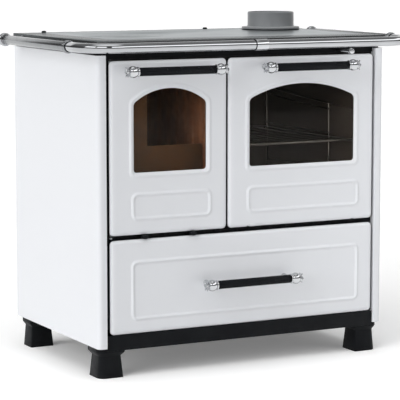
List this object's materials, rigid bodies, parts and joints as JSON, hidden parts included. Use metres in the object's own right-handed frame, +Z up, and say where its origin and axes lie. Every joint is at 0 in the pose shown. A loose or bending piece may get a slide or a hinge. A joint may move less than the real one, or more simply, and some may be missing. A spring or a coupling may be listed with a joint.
{
  "type": "wood cookstove",
  "caption": "Free-standing wood cookstove with glazed firebox door, drop-down oven door, wood drawer, steel hob with flue collar, and a tubular handrail.",
  "frame": {"origin": "bottom centre of the part's box, on the floor", "axes": "+X to the right as seen from the front, +Y towards the back wall, +Z up; the doors face -Y"},
  "size_m": [0.99, 0.641, 0.9103],
  "materials": {
    "white_enamel": "glossy vitreous enamel",
    "black_paint": "satin black stove paint",
    "cast_iron": "dark, fine grained",
    "dark_steel": "ground steel",
    "hob_steel": "ground steel, slightly polished",
    "flue_steel": "grey, satin",
    "chrome": "polished",
    "satin_steel": "satin",
    "glass": "clear ceramic glass, brown tint",
    "seal_rope": "woven glass-fibre rope",
    "firebrick": "matt fired clay",
    "zinc_sheet": "zinc-coated sheet",
    "oven_enamel": "dark speckled oven enamel"
  },
  "bodies": {
    "cabinet": {"side_panel_left": "white_enamel", "side_panel_right": "white_enamel", "back_panel": "zinc_sheet", "base_rail": "black_paint", "foot_front_left": "black_paint", "foot_front_right": "black_paint", "foot_back_left": "black_paint", "foot_back_right": "black_paint", "front_plate": "cast_iron", "top_band": "black_paint", "vent_strip": "black_paint", "middle_shelf": "zinc_sheet", "drawer_runner_left": "zinc_sheet", "drawer_runner_right": "zinc_sheet", "firebox_shell": "cast_iron", "firebox_lining": "firebrick", "grate": "cast_iron", "log_guard": "cast_iron", "ash_pan": "zinc_sheet", "oven_box": "oven_enamel", "oven_rack": "chrome", "top_frame": "dark_steel", "hob_plate": "hob_steel", "flue_collar": "flue_steel", "rail_front_left": "chrome", "rail_front_right": "chrome", "rail_side_left": "satin_steel", "rail_side_right": "satin_steel", "rail_bracket_centre": "chrome", "rail_bracket_front_left": "chrome", "rail_bracket_front_right": "chrome", "rail_bracket_back_left": "chrome", "rail_bracket_back_right": "chrome"},
    "firebox_door": {"firebox_door_panel": "white_enamel", "firebox_door_frame": "cast_iron", "firebox_door_glass": "glass", "firebox_door_seal": "seal_rope", "firebox_hinge_rod": "zinc_sheet", "firebox_handle_bar": "black_paint", "firebox_handle_post_left": "chrome", "firebox_handle_post_right": "chrome"},
    "oven_door": {"oven_door_panel": "white_enamel", "oven_door_frame": "cast_iron", "oven_door_glass": "glass", "oven_door_seal": "seal_rope", "oven_hinge_rod": "zinc_sheet", "oven_handle_bar": "black_paint", "oven_handle_post_left": "chrome", "oven_handle_post_right": "chrome"},
    "drawer": {"drawer_front": "white_enamel", "drawer_floor": "zinc_sheet", "drawer_box": "zinc_sheet", "drawer_handle_bar": "black_paint", "drawer_handle_post_left": "chrome", "drawer_handle_post_right": "chrome"},
    "hob_ring": {"hob_ring": "cast_iron"},
    "hob_lid": {"hob_lid": "cast_iron"},
    "air_register_left": {"air_register_left": "black_paint"},
    "air_register_right": {"air_register_right": "black_paint"},
    "bypass_damper": {"bypass_damper": "chrome"}
  },
  "joints": [
    {"name": "firebox_door_hinge", "type": "hinge", "parent": "cabinet", "child": "firebox_door", "pos_m": [-0.382, -0.2155, 0.5885], "axis": [0, 0, -1], "range_deg": [0, 105]},
    {"name": "oven_door_hinge", "type": "hinge", "parent": "cabinet", "child": "oven_door", "pos_m": [0.171, -0.2152, 0.3763], "axis": [1, 0, 0], "range_deg": [0, 90]},
    {"name": "drawer_slide", "type": "slide", "parent": "cabinet", "child": "drawer", "axis": [0, -1, 0], "range_m": [0, 0.35]},
    {"name": "hob_ring_lift", "type": "slide", "parent": "cabinet", "child": "hob_ring", "axis": [0, 0, 1], "range_m": [0, 0.12]},
    {"name": "hob_lid_lift", "type": "slide", "parent": "hob_ring", "child": "hob_lid", "axis": [0, 0, 1], "range_m": [0, 0.12]},
    {"name": "air_register_left_slide", "type": "slide", "parent": "cabinet", "child": "air_register_left", "axis": [1, 0, 0], "range_m": [-0.012, 0.012]},
    {"name": "air_register_right_slide", "type": "slide", "parent": "cabinet", "child": "air_register_right", "axis": [1, 0, 0], "range_m": [-0.012, 0.012]},
    {"name": "bypass_damper_slide", "type": "slide", "parent": "cabinet", "child": "bypass_damper", "axis": [0, -1, 0], "range_m": [0, 0.06]}
  ]
}
